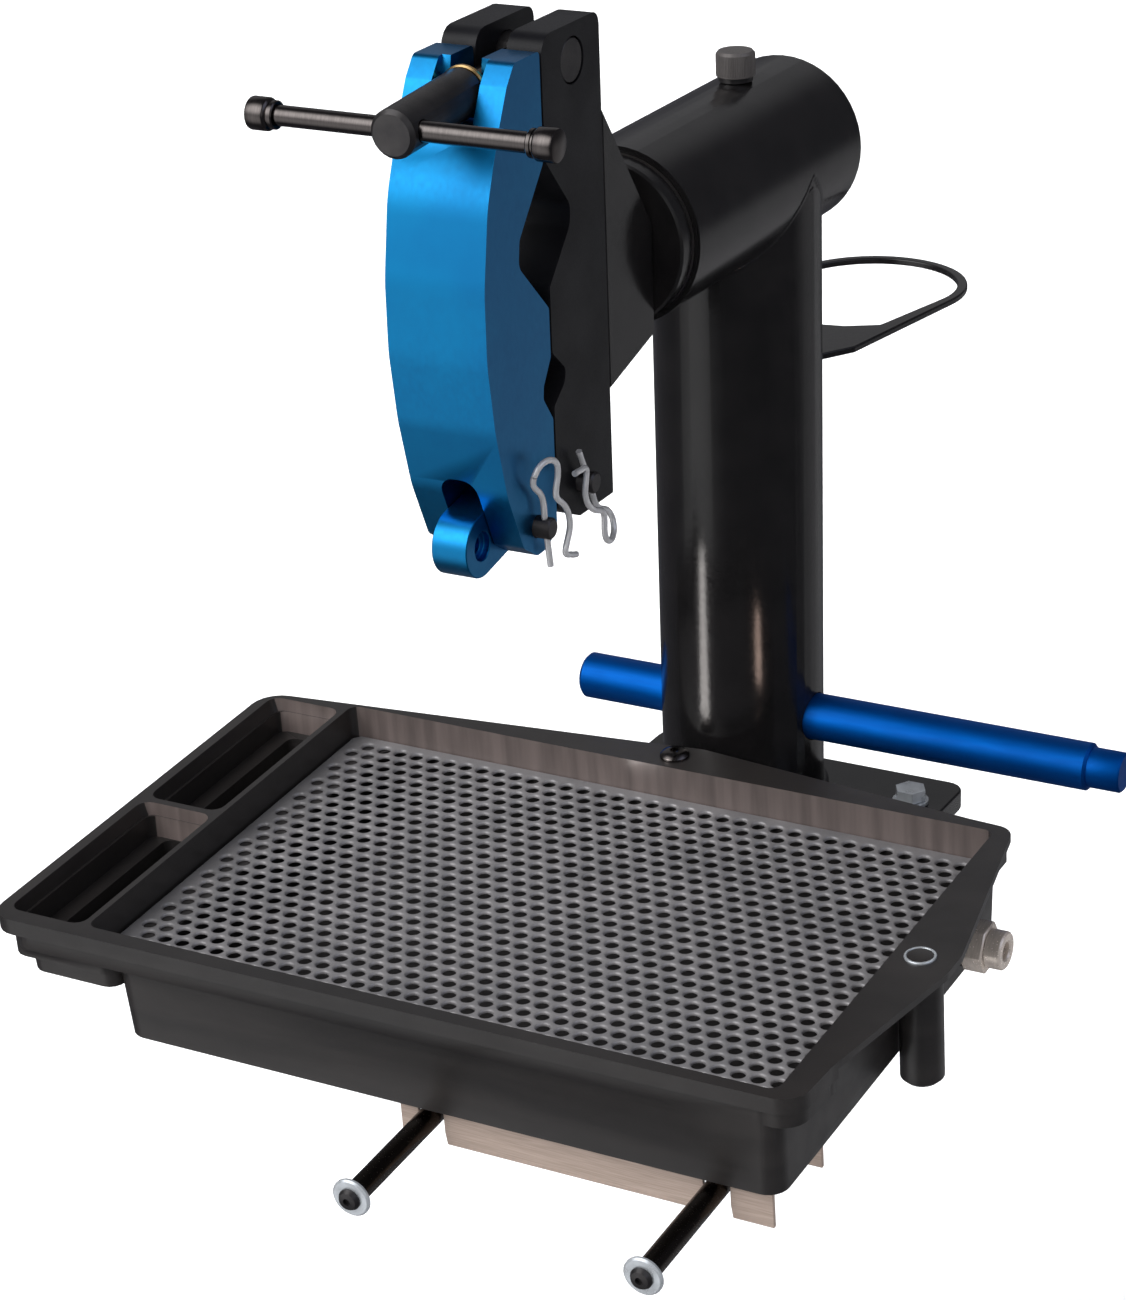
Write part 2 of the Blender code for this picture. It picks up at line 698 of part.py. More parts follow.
def make_screw():
    pivot = (0.0, TRUNNION_Y, TRUNNION_Z)
    pin = finish(
        "trunnion_pin",
        cylinder(TRUNNION_R, -JAW_HALF + 0.4, JAW_HALF - 0.4, "X", (TRUNNION_Y, TRUNNION_Z), 0.6),
        "oxide",
        pivot,
    )
    boolean(pin, along_screw(cylinder(SCREW_R + GAP, -20.0, 20.0, count=24)))
    rod = [
        (0.0, -8.0),
        (SCREW_R - 0.8, -8.0),
        (SCREW_R, -7.2),
        (SCREW_R, 84.0),
        (SCREW_R - 1.2, 85.2),
        (0.0, 85.2),
    ]
    finish("screw_rod", along_screw(lathe(rod, 24)), "steel", pivot)
    low, high = BARREL_AT
    face = low - GAP
    washer = [
        (SCREW_R + GAP, face - WASHER_T),
        (WASHER_R - 0.6, face - WASHER_T),
        (WASHER_R, face - WASHER_T + 0.6),
    ]
    washer += [(WASHER_R, face - 0.6), (WASHER_R - 0.6, face), (SCREW_R + GAP, face)]
    spot = (0.0, *screw_point(face))
    finish("brass_washer", along_screw(lathe(washer, 24, closed=True)), "brass", spot)
    barrel = [(SCREW_R + GAP, low), (BARREL_R - 0.8, low), (BARREL_R, low + 0.8), (BARREL_R, high - 1.6)]
    barrel += [(BARREL_R - 1.6, high), (0.0, high), (0.0, 86.0), (SCREW_R + GAP, 86.0)]
    barrel = finish("screw_barrel", along_screw(lathe_cup(barrel)), "oxide", spot)
    centre = screw_point(TBAR_AT)
    boolean(barrel, cylinder(TBAR_R + GAP, -30.0, 30.0, "X", centre, count=SMALL_ROUND))
    bar = [(0.0, -TBAR_HALF), (TBAR_R, -TBAR_HALF), (TBAR_R, TBAR_HALF), (0.0, TBAR_HALF)]
    finish("t_bar", lathe(bar, SMALL_ROUND, "X", (0.0, *centre)), "steel", (0.0, *centre))
    for name, side in (("t_bar_cap_right", 1.0), ("t_bar_cap_left", -1.0)):
        cap = t_cap_profile(side)
        finish(name, lathe(cap, SMALL_ROUND, "X", (0.0, *centre)), "steel", (side * TBAR_HALF, *centre))


def lathe_cup(profile):
    """A cup: the profile starts at the open mouth and ends on the axis inside."""
    mouth, depth = profile[0], profile[6][1]
    inside = [(0.0, depth), (mouth[0], depth)]
    return lathe(inside + profile[:6], 24)


def t_cap_profile(side):
    start, end = TBAR_HALF + GAP, TBAR_HALF + CAP_LENGTH
    half = [(0.0, start), (CAP_R - 1.6, start), (CAP_R - 1.6, start + 2.2), (CAP_R, start + 3.0)]
    half += [(CAP_R, end - 1.2), (CAP_R - 1.2, end), (0.0, end)]
    return [(r, side * x) for r, x in half]


# ---------------------------------------------------------------- tray group


def make_tray_frame():
    frame = bpy.data.objects.new("tray_frame", None)
    frame.location = Vector(TRAY_ORIGIN) * MM
    frame.rotation_euler = (TRAY_PITCH, 0.0, 0.0)
    bpy.context.scene.collection.objects.link(frame)
    return frame


def rim_outline(inset=0.0, left=RIM_LEFT):
    """The tray's outer edge from above, drawn in by an inset."""
    s = inset
    corners = [
        (left + s, -128.5 + s),
        (176.5 - s, -125.5 + s),
        (178.0 - s, -96.0),
        (192.5 - s, -14.0),
        (192.5 - s, 1.0),
    ]
    radii = [12.0 - s * 0.5, 12.0 - s * 0.5, 20.0, 14.0, 14.0]
    corners += [
        (172.0 - s, 107.5 - s),
        (150.0, 109.0 - s),
        (12.0, 124.0 - s),
        (-4.0, 122.0 - s),
    ]
    radii += [9.0, 40.0, 20.0, 20.0]
    corners += [(left + s, 98.6 - s)]
    radii += [14.0]
    return rounded(corners, radii, 6)


def make_tray_shell(tray):
    """The lip, skirt, pan and bin walls before they are hollowed out."""
    around = rectangle(-240.0, 220.0, -160.0, 150.0)
    boolean(tray, prism(around, SKIRT_LOW - 8.0, LIP_LOW, holes=[rim_outline(LIP_PROUD, SKIRT_LEFT)]))
    hollow = rim_outline(LIP_PROUD + SKIRT_T, SKIRT_LEFT)
    boolean(tray, prism(hollow, SKIRT_LOW - 8.0, RIM_TOP - RIM_T))
    wing = rectangle(PAN_X[1] + 5.5, 200.0, -92.0, 112.0)
    boolean(tray, prism(wing, SKIRT_LOW - 8.0, WING_LOW))
    x0, x1 = PAN_X
    y0, y1 = PAN_Y
    high, low = BODY_FRONT
    above = rectangle(PAN_LEFT - 1.5, x1 + 2.0, high, y1 + 3.2, 9.0)
    below = rectangle(PAN_LEFT + 1.5, x1 + 1.8, low, y1 - 1.5, 9.0)
    boolean(tray, prism(below, PAN_LOW, RIM_TOP - 1.0, top=above), "UNION")
    upper = rectangle(BIN_WALL_X, PAN_LEFT, high - 0.4, 99.0, 8.0, 4)
    boolean(tray, prism(upper, BIN_LEDGE - 2.4, RIM_TOP - 1.2), "UNION")
    inner = rectangle(BIN_BODY_X + 1.5, PAN_LEFT, high + 0.6, 91.5, 7.0, 4)
    outer = rectangle(BIN_BODY_X, PAN_LEFT, high, 93.0, 7.0, 4)
    boolean(tray, prism(inner, BIN_LOW, RIM_TOP - 1.4, top=outer), "UNION")
    corner = rectangle(x0 - 3.5, x0 + 25.5, y1 - 22.5, y1 + 2.2, 3.0, 3)
    boolean(tray, prism(corner, BIN_LEDGE - 2.9, LIP_LOW + 1.0), "UNION")


def make_bin_hollow(tray, front, back, ledges):
    """One bin: a wide mouth above a step, a wall below it, a ledge and a narrower well."""
    x0, x1 = BIN_X
    front_ledge, back_ledge = ledges
    low = rectangle(x0 + 2.3, x1 - 0.2, front + 0.4, back - 0.4, 5.6, 4)
    high = rectangle(x0, x1, front, back, 6.0, 4)
    boolean(tray, prism(low, BIN_STEP, RIM_TOP + 2.0, top=high))
    low = rectangle(x0 + 3.9, x1 - 0.8, front + 1.2, back - 1.2, 5.0, 4)
    high = rectangle(x0 + 3.7, x1 - 0.4, front + 0.7, back - 0.7, 5.3, 4)
    boolean(tray, prism(low, BIN_LEDGE, BIN_STEP + 1.0, top=high))
    well = (front + front_ledge, back - back_ledge)
    low = rectangle(x0 + 13.0, x1 - 3.0, well[0] + 1.0, well[1] - 1.0, 4.0, 3)
    high = rectangle(x0 + 12.0, x1 - 1.5, well[0], well[1], 4.0, 3)
    boolean(tray, prism(low, BIN_LOW + 2.4, 3.0, top=high))


def make_tray(frame):
    tray = finish("drain_tray", prism(rim_outline(), SKIRT_LOW, RIM_TOP), "plastic", parent=frame)
    make_tray_shell(tray)
    x0, x1 = PAN_X
    y0, y1 = PAN_Y
    boolean(tray, prism(rectangle(x0, x1, y0, y1, 5.0), -GRATE_T - GAP, 40.0))
    pan_low = rectangle(PAN_LEFT + 5.0, x1 - 4.5, y0 + 2.0, y1 - 6.5, 7.0)
    pan_high = rectangle(PAN_LEFT + 3.5, x1 - 3.5, y0 + 1.5, y1 - 5.0, 7.0)
    boolean(tray, prism(pan_low, PAN_LOW + FLOOR_T, 5.0, top=pan_high))
    pocket = rectangle(x0 + 3.0, PAN_LEFT - 4.5, y0 + 6.0, 84.0, 3.0, 3)
    boolean(tray, prism(pocket, BIN_LOW - 5.0, -GRATE_T - GAP - 2.6))
    make_bin_hollow(tray, y0 - 0.5, DIVIDER_Y[0], (6.0, 1.5))
    make_bin_hollow(tray, DIVIDER_Y[1], 96.5, (1.5, 6.0))
    for hole in (WING_HOLE, REAR_HOLE):
        boolean(tray, cylinder(4.6, 5.0, 30.0, centre=hole, count=SMALL_ROUND))
        boolean(tray, cylinder(POST_R + GAP, -60.0, RIM_TOP - RIM_T, centre=hole, count=28))
    boolean(tray, cylinder(6.6, x1 - 20.0, x1 + 20.0, "X", FITTING, count=32))


def make_grate(frame):
    x0, x1 = PAN_X
    y0, y1 = PAN_Y
    edge = 1.0
    outline = rectangle(x0 + edge, x1 - edge, y0 + edge, y1 - edge, 4.5, 4)
    middle = ((x0 + x1) / 2, (y0 + y1) / 2)
    row_step = GRATE_PITCH * math.sqrt(3.0) / 2
    holes = []
    for row in range(-8, 9):
        for column in range(-12, 13):
            x = middle[0] + (column + 0.5 * (row % 2)) * GRATE_PITCH
            y = middle[1] + row * row_step
            inside_x = x0 + 8.0 < x < x1 - 8.0
            inside_y = y0 + 8.0 < y < y1 - 8.0
            if inside_x and inside_y:
                holes.append(ring((x, y), GRATE_HOLE_R, 6, math.pi / 6))
    sheet = prism(outline, -GRATE_T, 0.0, holes=holes)
    finish("grate", sheet, "perforated", (middle[0], middle[1], 0.0), frame)


def make_posts(frame):
    under = RIM_TOP - RIM_T - GAP
    for name, spot in (("right", WING_HOLE), ("rear", REAR_HOLE)):
        low = POST_LOW[name]
        body = [(0.0, low), (POST_R - 2.0, low), (POST_R, low + 2.0), (POST_R, under), (0.0, under)]
        post = finish(
            f"tray_post_{name}", lathe(body, 28, "Z", (*spot, 0.0)), "plastic", (*spot, 0.0), frame
        )
        boolean(post, cylinder(3.4, under - 18.0, under + 5.0, centre=spot, count=12))
        base = RIM_TOP + GAP
        head = [
            (0.0, under - 14.0),
            (2.6, under - 14.0),
            (3.0, under - 13.6),
            (3.0, base),
            (6.9, base),
            (6.9, base + 0.8),
        ]
        head += [
            (5.6, base + 2.2), (3.2, base + 2.9), (1.9, base + 2.9), (1.9, base + 1.0), (0.0, base + 1.0)
        ]
        finish(
            f"tray_screw_{name}",
            lathe(head, SMALL_ROUND, "Z", (*spot, 0.0)),
            "steel",
            (*spot, 0.0),
            frame,
        )


def make_fitting(frame):
    wall = PAN_X[1] + 2.4
    y, z = FITTING
    nut = prism(
        shifted(ring((0, 0), 11.8, 6), y, z),
        wall + 1.8,
        wall + 12.2,
        "X",
        [ring((y, z), 6.5, SMALL_ROUND)],
    )
    nut = finish("drain_nut", nut, "brass", (wall, y, z), frame)
    bevel(nut, 0.6, 1)
    gasket = tube(10.4, 6.6, wall + 0.3, wall + 1.5, "X", (y, z), 24)
    finish("drain_gasket", gasket, "plastic", (wall, y, z), frame)
    start = PAN_X[1] - 7.5
    profile = [
        (4.2, start),
        (6.1, start),
        (6.1, wall + 12.5),
        (8.7, wall + 12.5),
        (8.7, wall + 19.0),
        (8.0, wall + 19.8),
    ]
    profile += [(4.9, wall + 19.8), (4.2, wall + 19.1)]
    body = lathe(profile, 24, "X", (0.0, y, z), closed=True)
    finish("drain_spout", body, "brass", (wall, y, z), frame)


def make_rails(frame):
    low, high = RAIL_Y
    for number, x in enumerate(RAIL_X, 1):
        rail = finish(
            f"rail_{number}",
            cylinder(RAIL_R, low, high, "Y", (x, RAIL_Z), 0.4, 24),
            "powder",
            (x, low, RAIL_Z),
            frame,
        )
        boolean(rail, cylinder(2.4, low - 5.0, low + 16.0, "Y", (x, RAIL_Z), count=12))
        flange = low - GAP
        ring_profile = [
            (2.8, flange), (8.7, flange), (8.7, flange - 1.0), (7.9, flange - 1.8), (2.8, flange - 1.8)
        ]
        washer = lathe(ring_profile, 28, "Y", (x, 0.0, RAIL_Z), closed=True)
        finish(f"rail_washer_{number}", washer, "zinc", (x, low, RAIL_Z), frame)
        face = flange - 1.8 - GAP
        head = [
            (0.0, low + 12.0),
            (2.0, low + 12.0),
            (2.0, face),
            (4.9, face),
            (4.9, face - 0.7),
            (3.9, face - 2.2),
        ]
        head += [(1.7, face - 2.6), (1.7, face - 1.0), (0.0, face - 1.0)]
        screw = lathe(head, SMALL_ROUND, "Y", (x, 0.0, RAIL_Z))
        finish(f"rail_screw_{number}", screw, "oxide", (x, low, RAIL_Z), frame)


def make_rail_block(frame):
    """Hangs under the base plate front and takes the rail ends."""
    block = prism(rectangle(-10.0, 144.0, -50.0, -32.4, 2.0, 3), 127.8, 143.0, "Y")
    block = finish("rail_block", block, "powder", (67.0, 135.0, RAIL_Z), frame)
    for x in RAIL_X:
        boolean(block, cylinder(RAIL_R + GAP, 120.0, 139.3, "Y", (x, RAIL_Z), count=24))


def make_bracket(frame):
    """A folded channel that hooks over both rails under the pan."""
    top = PAN_LOW - GAP
    plate = prism(rectangle(-14.0, 160.0, -117.0, -69.0), top - 2.0, top)
    bracket = finish("carriage_bracket", plate, "stainless", (73.0, -93.0, top), frame)
    for y in (-117.0, -71.0):
        flange = prism(rectangle(-14.0, 160.0, -54.0, top - 1.0), y, y + 2.0, "Y")
        boolean(bracket, flange, "UNION")
    half = RAIL_R + 1.0
    for x in RAIL_X:
        notch = [
            (x - half - 1.6, -60.0),
            (x + half + 1.6, -60.0),
            (x + half, -48.0),
            (x + half, top - 2.6),
            (x - half, top - 2.6),
            (x - half, -48.0),
        ]
        boolean(bracket, prism(notch, -125.0, -60.0, "Y"))


def build():
    clear_scene()
    make_base()
    make_column()
    make_bar()
    make_tool_ring()
    make_plunger()
    head_frame_parts()
    make_gussets()
    make_fixed_jaw()
    make_moving_jaw()
    make_link()
    make_pins()
    make_screw()
    frame = make_tray_frame()
    make_tray(frame)
    make_grate(frame)
    make_posts(frame)
    make_fitting(frame)
    make_rails(frame)
    make_rail_block(frame)
    make_bracket(frame)


build()
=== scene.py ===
"""Looks of the bench-mounted repair stand: finishes, fine surface pieces, studio and camera."""

import json
import math

import bmesh
import bpy
from mathutils import Matrix, Vector


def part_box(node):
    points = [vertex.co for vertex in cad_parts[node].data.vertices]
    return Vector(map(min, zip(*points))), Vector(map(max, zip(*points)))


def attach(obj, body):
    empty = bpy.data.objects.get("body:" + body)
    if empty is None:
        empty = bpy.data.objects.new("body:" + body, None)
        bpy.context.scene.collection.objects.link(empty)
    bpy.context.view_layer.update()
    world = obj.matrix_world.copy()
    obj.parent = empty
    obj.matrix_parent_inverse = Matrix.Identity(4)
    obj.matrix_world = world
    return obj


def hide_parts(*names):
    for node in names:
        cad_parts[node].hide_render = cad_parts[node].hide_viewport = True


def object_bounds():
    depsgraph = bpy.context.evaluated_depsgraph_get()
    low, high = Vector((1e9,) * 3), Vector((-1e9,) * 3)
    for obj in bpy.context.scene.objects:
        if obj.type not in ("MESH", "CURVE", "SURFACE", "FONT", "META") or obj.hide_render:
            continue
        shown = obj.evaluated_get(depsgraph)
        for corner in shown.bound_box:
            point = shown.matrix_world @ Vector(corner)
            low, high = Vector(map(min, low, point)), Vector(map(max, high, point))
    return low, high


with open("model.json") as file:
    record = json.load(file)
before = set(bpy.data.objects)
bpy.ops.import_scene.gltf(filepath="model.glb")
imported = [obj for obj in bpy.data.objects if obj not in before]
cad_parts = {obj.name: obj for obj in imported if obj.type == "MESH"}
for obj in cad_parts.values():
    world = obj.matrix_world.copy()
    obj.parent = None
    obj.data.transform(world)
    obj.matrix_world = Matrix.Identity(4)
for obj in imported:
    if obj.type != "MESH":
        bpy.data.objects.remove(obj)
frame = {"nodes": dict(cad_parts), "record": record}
CAD_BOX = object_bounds()
NODES = frame["nodes"]
BODIES = frame["record"]["behaviour"]["bodies"]
BODY_OF = {node: body for body, nodes in BODIES.items() for node in nodes}
SLOT_OF = {part["node"]: part["material_slot"] for part in frame["record"]["subparts"]}
MM = 0.001
WHITE = (1.0, 1.0, 1.0)


# ---------------------------------------------------------------- material helpers

# A Mix node has several sockets of each name. These are the ones for colours.
MIX_FACTOR, MIX_A, MIX_B, MIX_RESULT = 0, 6, 7, 2


class Look:
    """One material and the few node patterns that the finishes share."""

    def __init__(self, name, colour, metallic, roughness):
        self.material = bpy.data.materials.new(name)
        self.material.use_nodes = True
        self.tree = self.material.node_tree
        self.shader = self.tree.nodes["Principled BSDF"]
        self.colour = colour
        self.roughness = roughness
        self.shader.inputs["Base Color"].default_value = (*colour, 1.0)
        self.shader.inputs["Metallic"].default_value = metallic
        self.shader.inputs["Roughness"].default_value = roughness
        self.material.diffuse_color = (*colour, 1.0)
        self.place = self.tree.nodes.new("ShaderNodeTexCoord").outputs["Object"]
        self.last_bump = None

    def put(self, socket, value):
        """Sets one more input of the shader."""
        self.shader.inputs[socket].default_value = value
        return self

    def noise(self, scale, detail=3.0, stretch=(1.0, 1.0, 1.0), distortion=0.0):
        """A noise pattern in the object's own space, scaled per metre."""
        mapping = self.tree.nodes.new("ShaderNodeMapping")
        mapping.inputs["Scale"].default_value = stretch
        texture = self.tree.nodes.new("ShaderNodeTexNoise")
        texture.inputs["Scale"].default_value = scale
        texture.inputs["Detail"].default_value = detail
        texture.inputs["Distortion"].default_value = distortion
        self.tree.links.new(self.place, mapping.inputs["Vector"])
        self.tree.links.new(mapping.outputs["Vector"], texture.inputs["Vector"])
        return texture.outputs["Fac"]

    def remap(self, value, low, high, to_low, to_high):
        """The value moved from one range to another."""
        node = self.tree.nodes.new("ShaderNodeMapRange")
        node.inputs["From Min"].default_value = low
        node.inputs["From Max"].default_value = high
        node.inputs["To Min"].default_value = to_low
        node.inputs["To Max"].default_value = to_high
        self.tree.links.new(value, node.inputs["Value"])
        return node.outputs["Result"]

    def tint(self, value, other, low=0.35, high=0.65):
        """Moves the base colour towards another as a pattern rises."""
        mix = self.tree.nodes.new("ShaderNodeMix")
        mix.data_type = "RGBA"
        base = self.shader.inputs["Base Color"]
        if base.links:
            self.tree.links.new(base.links[0].from_socket, mix.inputs[MIX_A])
        else:
            mix.inputs[MIX_A].default_value = (*self.colour, 1.0)
        mix.inputs[MIX_B].default_value = (*other, 1.0)
        self.tree.links.new(self.remap(value, low, high, 0.0, 1.0), mix.inputs[MIX_FACTOR])
        self.tree.links.new(mix.outputs[MIX_RESULT], base)
        return self

    def rough(self, value, spread, low=0.3, high=0.7):
        """Varies the roughness by up to spread either way as a pattern rises."""
        result = self.remap(value, low, high, self.roughness - spread, self.roughness + spread)
        self.tree.links.new(result, self.shader.inputs["Roughness"])
        return self

    def bump(self, value, depth, strength=1.0):
        """Adds relief of a depth in metres, on top of any bump so far."""
        node = self.tree.nodes.new("ShaderNodeBump")
        node.inputs["Distance"].default_value = depth
        node.inputs["Strength"].default_value = strength
        self.tree.links.new(value, node.inputs["Height"])
        if self.last_bump is not None:
            self.tree.links.new(self.last_bump, node.inputs["Normal"])
        self.last_bump = node.outputs["Normal"]
        self.tree.links.new(self.last_bump, self.shader.inputs["Normal"])
        return self


# ---------------------------------------------------------------- finishes


def powder_coat():
    """Glossy black powder coat with a faint orange peel."""
    look = Look("powder_coat", (0.0042, 0.004, 0.0042), 0.0, 0.17)
    look.put("Specular IOR Level", 0.45)
    peel = look.noise(330.0, 2.0)
    grit = look.noise(2100.0, 2.0)
    look.tint(look.noise(60.0, 5.0), (0.0065, 0.006, 0.0062))
    look.rough(look.noise(700.0, 3.0), 0.05).bump(peel, 0.00006, 0.6).bump(grit, 0.000012)
    return look.material


def black_anodised():
    """Satin black anodised aluminium."""
    look = Look("black_anodised", (0.004, 0.004, 0.005), 0.0, 0.34)
    look.put("Specular IOR Level", 0.16)
    grain = look.noise(1700.0, 3.0)
    look.tint(look.noise(45.0, 5.0), (0.008, 0.008, 0.0092))
    look.rough(grain, 0.06).bump(grain, 0.000012)
    return look.material


def blue_anodised(name, colour, other, roughness, stretch, coat):
    """Blue anodised aluminium, its cut marks drawn out along the axis with the smallest stretch."""
    look = Look(name, colour, 1.0, roughness)
    look.put("Coat Weight", coat).put("Coat Roughness", 0.3)
    cuts = look.noise(700.0, 3.0, stretch)
    look.tint(look.noise(26.0, 3.0), other)
    look.rough(cuts, 0.04).bump(cuts, 0.000006, 0.5)
    return look.material


def oxide_steel():
    """Dark bolts and screws."""
    look = Look("oxide_steel", (0.055, 0.053, 0.055), 0.9, 0.36)
    cuts = look.noise(1400.0, 3.0)
    look.tint(look.noise(80.0, 4.0), (0.08, 0.076, 0.076))
    look.rough(cuts, 0.07).bump(cuts, 0.00001)
    return look.material


def polished_steel(name="polished_steel", colour=(0.1, 0.09, 0.087), roughness=0.2, metal=1.0):
    """Steel with fine rings round the X axis. The rails, knob, clips and spout have their own."""
    look = Look(name, colour, metal, roughness)
    rings = look.noise(500.0, 2.0, (3.0, 0.4, 0.4))
    look.tint(rings, tuple(1.2 * c for c in colour))
    look.rough(look.noise(1200.0, 3.0), 0.04).bump(rings, 0.0000015)
    return look.material


def zinc_plate():
    """Pale cloudy zinc plating."""
    look = Look("zinc_plate", (0.5, 0.53, 0.56), 0.6, 0.24)
    cloud = look.noise(160.0, 4.0)
    look.tint(cloud, (0.38, 0.4, 0.42))
    look.rough(cloud, 0.08).bump(look.noise(1500.0, 2.0), 0.000008)
    return look.material


def brushed_stainless():
    """Warm stainless steel brushed along X."""
    look = Look("brushed_stainless", (0.42, 0.33, 0.28), 0.5, 0.38)
    lines = look.noise(60.0, 6.0, (1.0, 30.0, 30.0))
    look.tint(lines, (0.33, 0.26, 0.215))
    look.rough(lines, 0.07).bump(lines, 0.000008)
    return look.material


def brass(name="machined_brass", colour=(0.74, 0.5, 0.22)):
    """Machined brass and its near relatives."""
    look = Look(name, colour, 1.0, 0.24)
    cloud = look.noise(240.0, 4.0)
    look.tint(cloud, tuple(0.82 * c for c in colour))
    look.rough(cloud, 0.06).bump(look.noise(1800.0, 2.0), 0.000006)
    return look.material


def moulded_plastic():
    """The tray's black plastic, grained and a little scuffed."""
    look = Look("moulded_plastic", (0.0105, 0.0094, 0.0092), 0.0, 0.34)
    look.put("Specular IOR Level", 0.62)
    grain = look.noise(1900.0, 2.0)
    scuff = look.noise(18.0, 5.0, (0.4, 1.0, 4.0), 0.4)
    look.tint(scuff, (0.0165, 0.0145, 0.0138))
    look.rough(look.noise(90.0, 4.0), 0.05).bump(grain, 0.00003)
    return look.material


def painted_light_wall():
    """The tray's inner walls that face the light: painted light makes them far paler than the plastic,
    and tall streaks are a painted reflection of the grate's holes.
    """
    # The base colour is painted light: the same black plastic, made much paler as if lit.
    look = Look("wall_painted_light", (0.115, 0.092, 0.086), 0.0, 0.36)
    look.put("Specular IOR Level", 0.5)
    # The tall paler and darker streaks are a painted reflection of the grate's rows of holes.
    painted_hole_streaks = look.noise(150.0, 3.0, (1.0, 1.0, 0.05))
    look.tint(painted_hole_streaks, (0.075, 0.06, 0.056))
    look.rough(look.noise(90.0, 4.0), 0.05).bump(look.noise(1900.0, 2.0), 0.00001)
    return look.material


def rubber():
    """Dull black rubber."""
    look = Look("black_rubber", (0.012, 0.012, 0.012), 0.0, 0.62)
    grain = look.noise(1500.0, 2.0)
    look.rough(grain, 0.06).bump(grain, 0.00002)
    return look.material


def perforated_sheet():
    """The grate's grey sheet metal."""
    look = Look("perforated_sheet", (0.2, 0.195, 0.2), 0.55, 0.46)
    cloud = look.noise(40.0, 5.0)
    look.tint(cloud, (0.26, 0.25, 0.255))
    look.rough(look.noise(900.0, 3.0), 0.06).bump(look.noise(1500.0, 2.0), 0.00001)
    return look.material


LOOKS = {
    "powder_black": powder_coat(),
    "anodised_black": black_anodised(),
    "anodised_blue": blue_anodised(
        "blue_anodised", (0.0, 0.205, 0.5), (0.0, 0.24, 0.55), 0.36, (1.0, 1.0, 0.5), 0.3
    ),
    "oxide_steel": oxide_steel(),
    "polished_steel": polished_steel(),
    "zinc_steel": zinc_plate(),
    "stainless": brushed_stainless(),
    "brass": brass(),
    "bronze": brass("plain_bronze", (0.5, 0.34, 0.2)),
    "nickel_brass": brass("nickel_brass", (0.72, 0.6, 0.5)),
    "plastic_black": moulded_plastic(),
    "rubber_black": rubber(),
    "perforated_grey": perforated_sheet(),
}
OWN_LOOK = {
    "leverage_bar": blue_anodised(
        "blue_bar", (0.0, 0.115, 0.5), (0.0, 0.13, 0.55), 0.56, (0.1, 1.0, 1.0), 0.06
    ),
    "index_plunger": polished_steel("satin_knob", (0.085, 0.078, 0.076), 0.42, 0.5),
    "rail_1": polished_steel("dark_rail", (0.05, 0.043, 0.038), 0.24),
    "hitch_clip_1": polished_steel("bright_wire", (0.5, 0.5, 0.51), 0.2, 0.6),
    "drain_spout": polished_steel("nickel", (0.6, 0.53, 0.47), 0.24, 0.6),
}
SAME_LOOK = {"rail_2": "rail_1", "hitch_clip_2": "hitch_clip_1", "drain_nut": "drain_spout"}


def look_of(node):
    """A node's own finish, its twin's, or its slot's."""
    return OWN_LOOK.get(SAME_LOOK.get(node, node), LOOKS[SLOT_OF[node]])


# ---------------------------------------------------------------- mesh helpers

SMOOTH_ANGLE = 32.0
BEAD_SMOOTH_ANGLE = 70.0
CAD_MERGE = 2e-6  # metres
CAD_FLAT_ANGLE = 0.4  # faces closer than this in direction, in degrees, become one
RIPPLE_CREST = 0.4  # where a weld's ripple is highest, as a share of its pitch
OFF_PATH = Vector((0.3, 0.2, 1.0))  # a direction that no bead follows


def add(name, bm, node, smooth_angle=SMOOTH_ANGLE, look=None):
    """Makes a piece from a mesh in row-frame metres, with a CAD node's finish and body."""
    bmesh.ops.recalc_face_normals(bm, faces=bm.faces)
    mesh = bpy.data.meshes.new(name)
    bm.to_mesh(mesh)
    bm.free()
    mesh.shade_smooth()
    mesh.set_sharp_from_angle(angle=math.radians(smooth_angle))
    obj = bpy.data.objects.new(name, mesh)
    bpy.context.scene.collection.objects.link(obj)
    mesh.materials.append(look or look_of(node))
    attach(obj, BODY_OF[node])
    return obj


def soften(obj, width, segments=2, angle=35.0):
    """Rounds the edges sharper than an angle, by a width in mm."""
    step = obj.modifiers.new("edge", "BEVEL")
    step.width = width * MM
    step.segments = segments
    step.limit_method = "ANGLE"
    step.angle_limit = math.radians(angle)
    step.harden_normals = True
    step.miter_outer = "MITER_ARC"


def refine(node, width=0.4, segments=2):
    """The CAD solid's own shape, with merged flats, smooth round faces and softened edges."""
    bm = bmesh.new()
    bm.from_mesh(NODES[node].data)
    bmesh.ops.remove_doubles(bm, verts=bm.verts, dist=CAD_MERGE)
    flat = math.radians(CAD_FLAT_ANGLE)
    bmesh.ops.dissolve_limit(bm, angle_limit=flat, verts=bm.verts, edges=bm.edges)
    piece = add(node + "_skin", bm, node)
    if width > 0.0:
        soften(piece, width, segments)
    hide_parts(node)
    return piece


def strip(bm, first, second):
    """Joins two rings of as many points each."""
    for k in range(len(first)):
        m = (k + 1) % len(first)
        bm.faces.new((first[k], first[m], second[m], second[k]))


